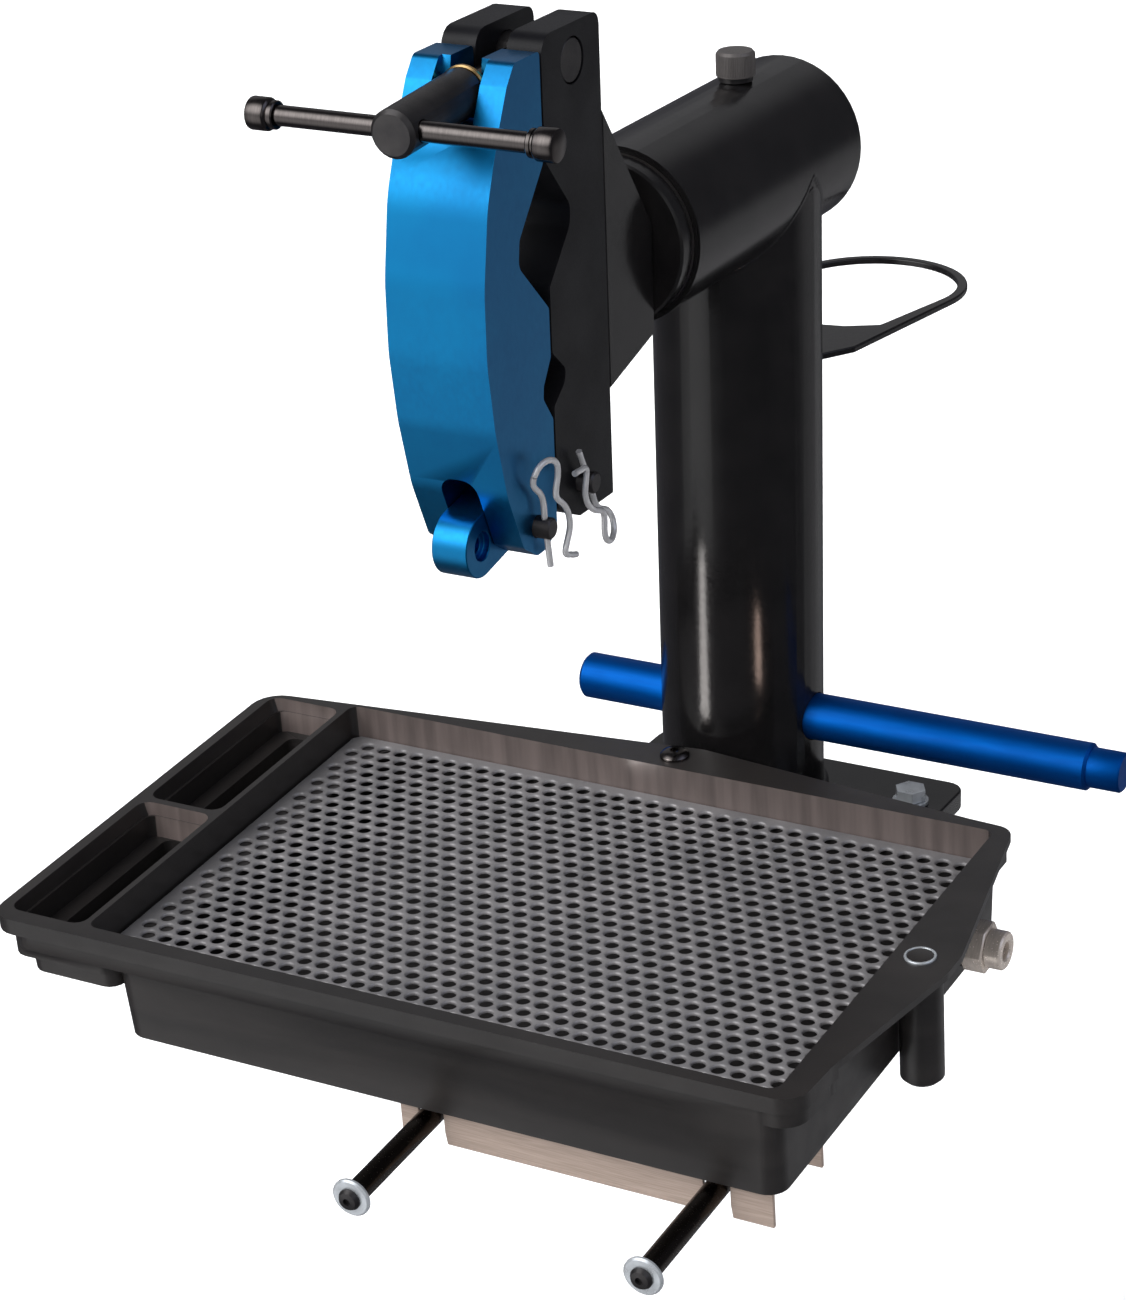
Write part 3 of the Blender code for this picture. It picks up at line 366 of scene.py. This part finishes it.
def bead(name, node, path, rope, closed, sides=10):
    """A weld bead or a wire along a path: its rope is (radius, ripple height, ripple pitch) in mm."""
    radius, ripple, pitch = (size * MM for size in rope)
    steps = len(path)
    bm = bmesh.new()
    rings = []
    travelled = 0.0
    for i, point in enumerate(path):
        before = path[i - 1] if closed or i > 0 else point
        after = path[(i + 1) % steps] if closed or i < steps - 1 else point
        along = (after - before).normalized()
        side = along.cross(OFF_PATH).normalized()
        up = side.cross(along)
        if i > 0:
            travelled += (point - path[i - 1]).length
        phase = (travelled / pitch) % 1.0
        swell = radius + ripple * (1.0 - 2.0 * abs(phase - RIPPLE_CREST))
        ring = []
        for k in range(sides):
            turn = math.tau * k / sides
            out = math.cos(turn) * side + math.sin(turn) * up
            ring.append(bm.verts.new(point + swell * out))
        rings.append(ring)
    for i in range(steps if closed else steps - 1):
        strip(bm, rings[i], rings[(i + 1) % steps])
    if not closed:
        bm.faces.new(rings[0])
        bm.faces.new(rings[-1])
    return add(name, bm, node, BEAD_SMOOTH_ANGLE)


# ---------------------------------------------------------------- tray frame and grate

TRAY_AT = Vector((-10.1, -168.1, 23.0))  # mm
TRAY_TILT = 3.49  # degrees about X
TRAY = Matrix.Translation(TRAY_AT * MM) @ Matrix.Rotation(math.radians(TRAY_TILT), 4, "X")
HOLE_PITCH = 9.0
HOLE_R = 3.0
# The rolled upper edge of a hole: how much wider, and how far under the top.
HOLE_EDGE = ((0.9, 0.0), (0.62, 0.12), (0.38, 0.32), (0.18, 0.6), (0.05, 0.95), (0.0, 1.2))
HOLE_ROWS = (-14, 12)
HOLE_REACH = 158.0  # how far a hole's centre may be to either side
CELL_SIDES = 24
CELL_ROWS = range(HOLE_ROWS[0] - 2, HOLE_ROWS[1] + 3)
CELL_COLUMNS = range(-20, 21)
CELL_MERGE = 0.02
SHEET_CORNER = 3.0
CUT_SNAP = 1e-4


def span_in_tray(node):
    """Lowest and highest corner of a CAD node in the tray's own tilted frame, in mm."""
    back = TRAY.inverted()
    points = [back @ v.co / MM for v in NODES[node].data.vertices]
    low = [min(p[i] for p in points) for i in range(3)]
    high = [max(p[i] for p in points) for i in range(3)]
    return low, high


def cell_layer(bm, centre, radius, z):
    """One ring of a cell: a circle, or the cell's hexagon where the radius is None."""
    ring = []
    for k in range(CELL_SIDES):
        turn = math.tau * k / CELL_SIDES
        off = math.radians((math.degrees(turn) + 30.0) % 60.0 - 30.0)
        r = radius if radius else 0.5 * HOLE_PITCH / math.cos(off)
        x, y = centre[0] + r * math.cos(turn), centre[1] + r * math.sin(turn)
        ring.append(bm.verts.new((x, y, z)))
    return ring


def make_grate():
    """The perforated sheet with its real 6 mm holes every 9 mm, each with a rolled upper edge."""
    low, high = span_in_tray("grate")
    bm = bmesh.new()
    row_step = HOLE_PITCH * math.sqrt(3.0) / 2.0
    for row in CELL_ROWS:
        for column in CELL_COLUMNS:
            x, y = (column + 0.5 * (row % 2)) * HOLE_PITCH, row * row_step
            holed = HOLE_ROWS[0] <= row <= HOLE_ROWS[1] and abs(x) < HOLE_REACH
            top = cell_layer(bm, (x, y), None, high[2])
            bottom = cell_layer(bm, (x, y), None, low[2])
            if not holed:
                bm.faces.new(top)
                bm.faces.new(bottom)
                continue
            layers = [top]
            for wider, depth in HOLE_EDGE:
                layers.append(cell_layer(bm, (x, y), HOLE_R + wider, high[2] - depth))
            layers.append(cell_layer(bm, (x, y), HOLE_R, low[2]))
            layers.append(bottom)
            for first, second in zip(layers, layers[1:]):
                strip(bm, first, second)
    bmesh.ops.remove_doubles(bm, verts=bm.verts, dist=CELL_MERGE)
    cuts = [((low[0], 0, 0), (-1, 0, 0)), ((high[0], 0, 0), (1, 0, 0))]
    cuts += [((0, low[1], 0), (0, -1, 0)), ((0, high[1], 0), (0, 1, 0))]
    for sx, x in ((-1, low[0]), (1, high[0])):
        for sy, y in ((-1, low[1]), (1, high[1])):
            cuts.append(((x - sx * SHEET_CORNER, y, 0), (sx, sy, 0)))
    for point, normal in cuts:
        geometry = bm.verts[:] + bm.edges[:] + bm.faces[:]
        bmesh.ops.bisect_plane(
            bm, geom=geometry, dist=CUT_SNAP, plane_co=point, plane_no=normal, clear_outer=True
        )
    rim = [edge for edge in bm.edges if len(edge.link_faces) == 1]
    bmesh.ops.bridge_loops(bm, edges=rim)
    bmesh.ops.transform(bm, matrix=TRAY @ Matrix.Scale(MM, 4), verts=bm.verts)
    piece = add("grate_sheet", bm, "grate", 40.0)
    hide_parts("grate")


# ---------------------------------------------------------------- welds

COLUMN_R = 38.1  # the head tube's radius too
HEAD_Z = 308.7
PLATE_TOP = 10.0
# Each rope is the radius, ripple height and ripple pitch in mm.
SADDLE_ROPE = (2.4, 0.18, 2.1)
SADDLE_STEPS = 900
SADDLE_PROUD = (0.12, 0.95)  # at the sides, and how much more at the front and back
FOOT_ROPE = (2.2, 0.2, 2.2)
FOOT_STEPS = 600
FOOT_RISE = 0.3


def make_welds():
    """The bead where the head tube sits in the column's saddle, and the one round the column's foot."""
    saddle = []
    for i in range(SADDLE_STEPS):
        a = math.tau * i / SADDLE_STEPS
        steep = abs(math.sin(a))
        column = Vector((math.cos(a), math.sin(a), 0.0))
        head = Vector((math.cos(a), 0.0, -steep))
        point = Vector((COLUMN_R * column.x, COLUMN_R * column.y, HEAD_Z - COLUMN_R * steep))
        proud = SADDLE_PROUD[0] + SADDLE_PROUD[1] * steep
        saddle.append((point + (proud - SADDLE_ROPE[0]) * (column + head).normalized()) * MM)
    bead("weld_saddle", "column_tube", saddle, SADDLE_ROPE, True)
    foot = []
    for i in range(FOOT_STEPS):
        a = math.tau * i / FOOT_STEPS
        x, y = COLUMN_R * math.cos(a), COLUMN_R * math.sin(a)
        foot.append(Vector((x, y, PLATE_TOP + FOOT_RISE)) * MM)
    bead("weld_foot", "column_tube", foot, FOOT_ROPE, True)


# ---------------------------------------------------------------- pieces

# How far edges are rounded, in mm. The other nodes' edges stay as they are.
EDGES = {
    "base_plate": 1.2,
    "fixed_jaw": 0.8,
    "moving_jaw": 0.6,
    "pivot_link": 0.5,
    "cheek_left": 0.5,
    "cheek_right": 0.5,
    "drain_tray": 0.9,
    "carriage_bracket": 0.4,
    "tool_ring": 0.9,
    "rail_block": 0.8,
}
# Nodes that a shape made here replaces, instead of their own refined one.
OWN_SHAPE = {
    "grate",
    "t_bar_cap_left",
    "t_bar_cap_right",
    "hitch_clip_1",
    "hitch_clip_2",
    "tray_screw_right",
}
# Where the tray's front-facing inner walls are, in the tray's own frame, in mm. These walls get painted
# light.
WALL_X = (-208.0, 167.0)
WALL_Z = (-3.0, 16.0)
BACK_WALL_Y = 80.0
BIN_WALL_Y = (-17.0, -14.0)
FACES_FRONT = -0.8  # the most that such a face's normal has in Y


def paint_light_on_front_walls(tray):
    """The tray's inner walls that face the front, toward the key light, take the finish with painted
    light and a painted reflection of the grate.
    """
    back = TRAY.inverted()
    tray.data.materials.append(painted_light_wall())
    for face in tray.data.polygons:
        centre = back @ face.center / MM
        faces_front = (back.to_3x3() @ face.normal).y < FACES_FRONT
        inside = WALL_X[0] < centre.x < WALL_X[1] and WALL_Z[0] < centre.z < WALL_Z[1]
        at_wall = centre.y > BACK_WALL_Y or BIN_WALL_Y[0] < centre.y < BIN_WALL_Y[1]
        if faces_front and inside and at_wall:
            face.material_index = 1


def turned(name, node, profile, place, sides=64, look=None, flutes=0.0):
    """A piece turned on a lathe: (distance along, radius) pairs in mm, on place's Z axis.

    Flutes is how much deeper every other side is, in mm.
    """
    bm = bmesh.new()
    rings = []
    for along, radius in profile:
        ring = []
        for k in range(sides):
            turn = math.tau * k / sides
            r = radius - (flutes if k % 2 else 0.0)
            point = Vector((r * math.cos(turn), r * math.sin(turn), along)) * MM
            ring.append(bm.verts.new(place @ point))
        rings.append(ring)
    for first, second in zip(rings, rings[1:]):
        strip(bm, first, second)
    bm.faces.new(rings[0])
    bm.faces.new(rings[-1])
    return add(name, bm, node, SMOOTH_ANGLE, look)


CAP = [(0.0, 4.3), (0.0, 5.1), (0.5, 5.5), (1.8, 5.5), (2.1, 5.0), (2.7, 5.0), (3.0, 5.6)]
CAP += [(3.5, 6.2), (4.0, 6.4), (10.6, 6.4), (11.3, 6.15), (11.7, 5.4)]
# Down from the knob's top, and how far beyond its side.
KNURL = [(-10.4, -0.5), (-10.0, 0.08), (-1.7, 0.08), (-1.3, -0.5)]
KNURL_SIDES = 144
KNURL_DEPTH = 0.3
PLUG_AT = Vector((177.0, -6.5, 15.6))  # mm, in the tray's own frame
PLUG_RING = [(-9.0, 4.2), (0.05, 4.2), (0.05, 6.9), (0.7, 6.9)]
PLUG_RING += [(1.0, 6.6), (1.0, 5.9), (0.7, 5.7), (0.5, 5.7)]
PLUG_CAP = [(0.45, 5.6), (0.75, 5.6), (0.85, 5.3)]
PLUG_SIDES = 72


def make_handle_caps():
    """The grooved caps on the ends of the T-handle."""
    for node, side in (("t_bar_cap_left", -1.0), ("t_bar_cap_right", 1.0)):
        low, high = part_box(node)
        inner_x = low[0] if side > 0 else high[0]
        inner = Vector((inner_x, (low[1] + high[1]) / 2, (low[2] + high[2]) / 2))
        place = Matrix.Translation(inner) @ Matrix.Rotation(side * math.pi / 2, 4, "Y")
        piece = turned(node + "_turned", node, CAP, place)
        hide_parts(node)


def make_knurl():
    """Straight knurling round the plunger's knob."""
    low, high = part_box("index_plunger")
    axis = Vector(((low[0] + high[0]) / 2, (low[1] + high[1]) / 2, high[2]))
    radius = (high[0] - low[0]) / 2 / MM
    profile = [(along, radius + proud) for along, proud in KNURL]
    place = Matrix.Translation(axis)
    turned("knob_knurl", "index_plunger", profile, place, KNURL_SIDES, None, KNURL_DEPTH)


def make_wing_plug():
    """The right post's plug: a bright ring round a flat dark cap."""
    node = "tray_screw_right"
    place = Matrix.Translation(TRAY @ (PLUG_AT * MM)) @ TRAY.to_3x3().to_4x4()
    piece = turned("wing_plug_ring", node, PLUG_RING, place, PLUG_SIDES, LOOKS["zinc_steel"])
    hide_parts("tray_screw_right")
    turned("wing_plug_cap", node, PLUG_CAP, place, PLUG_SIDES, LOOKS["plastic_black"])


# The line of a clip's wire, across and up in mm from the pin's centre.
CLIP_POINTS = [(0.4, -17.5), (0.2, -8.0), (0.0, 2.0), (0.4, 11.0), (-1.2, 16.0), (-5.6, 21.5)]
CLIP_POINTS += [(-6.0, 26.0), (-2.6, 29.6), (2.6, 29.6), (6.4, 26.2), (6.2, 21.5), (3.4, 15.6)]
CLIP_POINTS += [(3.8, 12.0), (8.6, 6.5), (11.2, 0.5), (10.6, -5.4)]
CLIP_POINTS += [(5.4, -13.0), (9.6, -16.5), (13.6, -18.5)]
CLIP_STEPS = 12
CLIP_ROPE = (1.3, 0.0, 2.0)
CLIP_SIDES = 16
CLIP_X = 25.6
CLIP_AWAY = 4.6  # how much farther out the sprung half ends
CLIP_SPRUNG = 4.5  # it starts to move out after so many points, and takes as many again
# Each pin's centre in Y and Z, in mm, and the degrees that its clip is turned by.
CLIPS = {"hitch_clip_1": (-226.0, 224.4, 8.0), "hitch_clip_2": (-189.0, 231.0, 205.0)}


def smooth_path(points, steps):
    """A curve through all of the points (Catmull-Rom), with as many steps from each to the next."""
    points = [Vector(p) for p in points]
    path = []
    for i in range(len(points) - 1):
        before, one = points[max(i - 1, 0)], points[i]
        two, after = points[i + 1], points[min(i + 2, len(points) - 1)]
        for k in range(steps):
            t = k / steps
            bend = (2 * before - 5 * one + 4 * two - after) * t * t
            twist = (after - before + 3 * (one - two)) * t**3
            path.append(0.5 * (2 * one + (two - before) * t + bend + twist))
    path.append(points[-1])
    return path


def make_clips():
    """Round spring wire, bent to the line of the coarser CAD clips."""
    for node, (y, z, lean) in CLIPS.items():
        turn = Matrix.Rotation(math.radians(lean), 2)
        path = []
        for i, p in enumerate(smooth_path(CLIP_POINTS, CLIP_STEPS)):
            away = min(1.0, max(0.0, (i / CLIP_STEPS - CLIP_SPRUNG) / CLIP_SPRUNG))
            away = away * away * (3.0 - 2.0 * away)
            q = turn @ p
            path.append(Vector((CLIP_X + CLIP_AWAY * away, y + q.x, z + q.y)) * MM)
        piece = bead(node + "_wire", node, path, CLIP_ROPE, False, CLIP_SIDES)
        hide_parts(node)


skins = {node: refine(node, EDGES.get(node, 0.0)) for node in sorted(set(NODES) - OWN_SHAPE)}
make_grate()
make_welds()
make_handle_caps()
make_knurl()
make_wing_plug()
make_clips()
# Paints light and a reflection of the grate onto the tray's front-facing inner walls.
paint_light_on_front_walls(skins["drain_tray"])


# ---------------------------------------------------------------- studio

FLOOR_DROP = 0.3  # metres under the stand
FLOOR_R = 14.0
FLOOR_SEGMENTS = 96
ROOM = (0.075, 0.075, 0.085)
# Azimuth, elevation, half width and half height in degrees, then strength, colour and softness.
SOFT_BOXES = (
    (-34.0, 36.0, 40.0, 38.0, 3.3, WHITE, 0.9),
    (-32.0, -18.0, 36.0, 40.0, 0.85, WHITE, 0.9),
    (40.0, 20.0, 30.0, 30.0, 0.3, WHITE, 0.6),
    (150.0, -26.0, 34.0, 22.0, 0.22, WHITE, 0.6),
    (210.0, 30.0, 40.0, 26.0, 0.2, WHITE, 0.6),
    (90.0, 40.0, 30.0, 30.0, 0.6, (0.8, 0.9, 1.2), 0.6),
)
PANEL_GAP = 0.07  # metres off the column
PANEL_ELEVATION = -26.0
# Azimuth and height of the line on the column, azimuth and size of the panel, power and colour.
COLUMN_PANELS = {
    "left": (0.0, 0.105, -30.0, (0.015, 0.08), 0.032, (1.0, 0.95, 0.92)),
    "right": (39.8, 0.099, 49.6, (0.011, 0.034), 0.009, (1.0, 0.72, 0.6)),
}
VIEW = (29.95, 26.15, -2.44)  # azimuth, elevation and roll in degrees
CAMERA_AT = (0.6774, -1.3709, 0.7368)
LENS = 98.15
SENSOR_HEIGHT = 36.0
SHIFT = (0.0166, 0.1399)
NEAREST = 0.05


def make_studio():
    """A pale floor well under the stand, which gloss doesn't see."""
    bm = bmesh.new()
    bmesh.ops.create_circle(bm, cap_ends=True, radius=FLOOR_R, segments=FLOOR_SEGMENTS)
    mesh = bpy.data.meshes.new("studio_floor")
    bm.to_mesh(mesh)
    bm.free()
    floor = bpy.data.objects.new("studio_floor", mesh)
    floor.location.z = CAD_BOX[0][2] - FLOOR_DROP
    bpy.context.scene.collection.objects.link(floor)
    pale = bpy.data.materials.new("pale_floor")
    pale.use_nodes = True
    shader = pale.node_tree.nodes["Principled BSDF"]
    shader.inputs["Base Color"].default_value = (0.9, 0.9, 0.9, 1.0)
    shader.inputs["Roughness"].default_value = 0.9
    shader.inputs["Emission Color"].default_value = (1.0, 1.0, 1.0, 1.0)
    shader.inputs["Emission Strength"].default_value = 0.3
    mesh.materials.append(pale)
    floor.visible_glossy = False


def make_sun(name, azimuth, elevation, strength, angle):
    """A soft light that shades matt surfaces only, so gloss is left to the world."""
    light = bpy.data.lights.new(name, "SUN")
    light.energy = strength
    light.angle = math.radians(angle)
    obj = bpy.data.objects.new(name, light)
    obj.rotation_euler = heading(azimuth, elevation).to_track_quat("Z", "Y").to_euler()
    obj.visible_glossy = False
    bpy.context.scene.collection.objects.link(obj)


def make_panel(name, centre, aim, size, power, colour):
    """A small softbox that only shows as a highlight on gloss."""
    light = bpy.data.lights.new(name, "AREA")
    light.shape = "RECTANGLE"
    light.size, light.size_y = size
    light.energy = power
    light.color = colour
    obj = bpy.data.objects.new(name, light)
    obj.location = centre
    obj.rotation_euler = (Vector(centre) - Vector(aim)).to_track_quat("Z", "Y").to_euler()
    obj.visible_diffuse = False
    obj.visible_camera = False
    bpy.context.scene.collection.objects.link(obj)


def heading(azimuth, elevation):
    """The direction of a compass point: azimuth 0 is in front of the stand and 90 on its right."""
    a, e = math.radians(azimuth), math.radians(elevation)
    return Vector((math.sin(a) * math.cos(e), -math.cos(a) * math.cos(e), math.sin(e)))


class World:
    """The studio as gloss sees it: a dim room with soft bright areas."""

    def __init__(self, base):
        world = bpy.data.worlds.new("studio")
        bpy.context.scene.world = world
        world.use_nodes = True
        self.tree = world.node_tree
        self.back = self.tree.nodes["Background"]
        self.direction = self.tree.nodes.new("ShaderNodeTexCoord").outputs["Generated"]
        self.total = None
        self.base = base

    def math(self, kind, first, second=None):
        """One operation on one or two values, each a socket or a number."""
        node = self.tree.nodes.new("ShaderNodeMath")
        node.operation = kind
        for socket, value in zip(node.inputs, (first, second)):
            if isinstance(value, float):
                socket.default_value = value
            elif value is not None:
                self.tree.links.new(value, socket)
        return node.outputs[0]

    def dot(self, vector):
        """How far the direction seen goes along a vector."""
        node = self.tree.nodes.new("ShaderNodeVectorMath")
        node.operation = "DOT_PRODUCT"
        self.tree.links.new(self.direction, node.inputs[0])
        node.inputs[1].default_value = vector
        return node.outputs["Value"]

    def fall(self, value, inner, outer):
        """1 up to the inner limit, falling smoothly to 0 at the outer one."""
        node = self.tree.nodes.new("ShaderNodeMapRange")
        node.interpolation_type = "SMOOTHSTEP"
        node.inputs["From Min"].default_value = inner
        node.inputs["From Max"].default_value = outer
        node.inputs["To Min"].default_value = 1.0
        node.inputs["To Max"].default_value = 0.0
        self.tree.links.new(value, node.inputs["Value"])
        return node.outputs["Result"]

    def box(self, azimuth, elevation, wide, high, strength, colour, soft):
        """A soft rectangle, wide and high in degrees from its middle to where it has faded out."""
        ahead = heading(azimuth, elevation)
        right = heading(azimuth + 90.0, 0.0)
        up = ahead.cross(right)
        forward = self.math("MAXIMUM", self.dot(ahead), 0.01)
        mask = self.math("GREATER_THAN", forward, 0.02)
        for axis, reach in ((right, wide), (up, high)):
            slope = self.math("ABSOLUTE", self.math("DIVIDE", self.dot(axis), forward))
            edge = math.tan(math.radians(reach))
            mask = self.math("MULTIPLY", mask, self.fall(slope, edge * (1.0 - soft), edge))
        node = self.tree.nodes.new("ShaderNodeVectorMath")
        node.operation = "SCALE"
        node.inputs[0].default_value = [strength * c for c in colour]
        self.tree.links.new(mask, node.inputs["Scale"])
        self.add(node.outputs[0])

    def add(self, value):
        """Adds a light to the total, which starts as the room."""
        node = self.tree.nodes.new("ShaderNodeVectorMath")
        node.operation = "ADD"
        self.tree.links.new(value, node.inputs[0])
        if self.total is None:
            node.inputs[1].default_value = self.base
        else:
            self.tree.links.new(self.total, node.inputs[1])
        self.total = node.outputs[0]

    def close(self):
        """The camera itself sees a white backdrop."""
        self.tree.links.new(self.total, self.back.inputs["Color"])
        white = self.tree.nodes.new("ShaderNodeBackground")
        white.inputs["Color"].default_value = (1.0, 1.0, 1.0, 1.0)
        mix = self.tree.nodes.new("ShaderNodeMixShader")
        path = self.tree.nodes.new("ShaderNodeLightPath")
        self.tree.links.new(path.outputs["Is Camera Ray"], mix.inputs[0])
        self.tree.links.new(self.back.outputs[0], mix.inputs[1])
        self.tree.links.new(white.outputs[0], mix.inputs[2])
        output = self.tree.nodes["World Output"]
        self.tree.links.new(mix.outputs[0], output.inputs["Surface"])


def make_world():
    """The dim room with all of its soft boxes."""
    world = World(ROOM)
    for values in SOFT_BOXES:
        world.box(*values)
    world.close()


def make_column_panels():
    """Two slim reflectors over the tray that leave short bright lines on the column."""
    for name, (line, rise, aside, size, power, colour) in COLUMN_PANELS.items():
        at = COLUMN_R * MM * heading(line, 0.0) + Vector((0.0, 0.0, rise))
        centre = at + PANEL_GAP * heading(aside, PANEL_ELEVATION)
        make_panel("panel_" + name, centre, at, size, power, colour)


def make_camera():
    """The viewing angle, distance and framing of the product view."""
    camera = bpy.data.cameras.new("camera")
    camera.sensor_fit = "VERTICAL"
    camera.sensor_height = SENSOR_HEIGHT
    camera.lens = LENS
    camera.shift_x = SHIFT[0]
    camera.shift_y = SHIFT[1]
    camera.clip_start = NEAREST
    obj = bpy.data.objects.new("camera", camera)
    azimuth, elevation, roll = (math.radians(a) for a in VIEW)
    turn = Matrix.Rotation(azimuth, 4, "Z") @ Matrix.Rotation(math.pi / 2 - elevation, 4, "X")
    obj.matrix_world = Matrix.Translation(CAMERA_AT) @ turn @ Matrix.Rotation(roll, 4, "Z")
    bpy.context.scene.collection.objects.link(obj)
    bpy.context.scene.camera = obj


bpy.context.scene.view_settings.view_transform = "Standard"
make_studio()
make_sun("key", -35.0, 52.0, 3.2, 50.0)
make_sun("fill", 60.0, 35.0, 1.0, 90.0)
make_world()
make_column_panels()
make_camera()
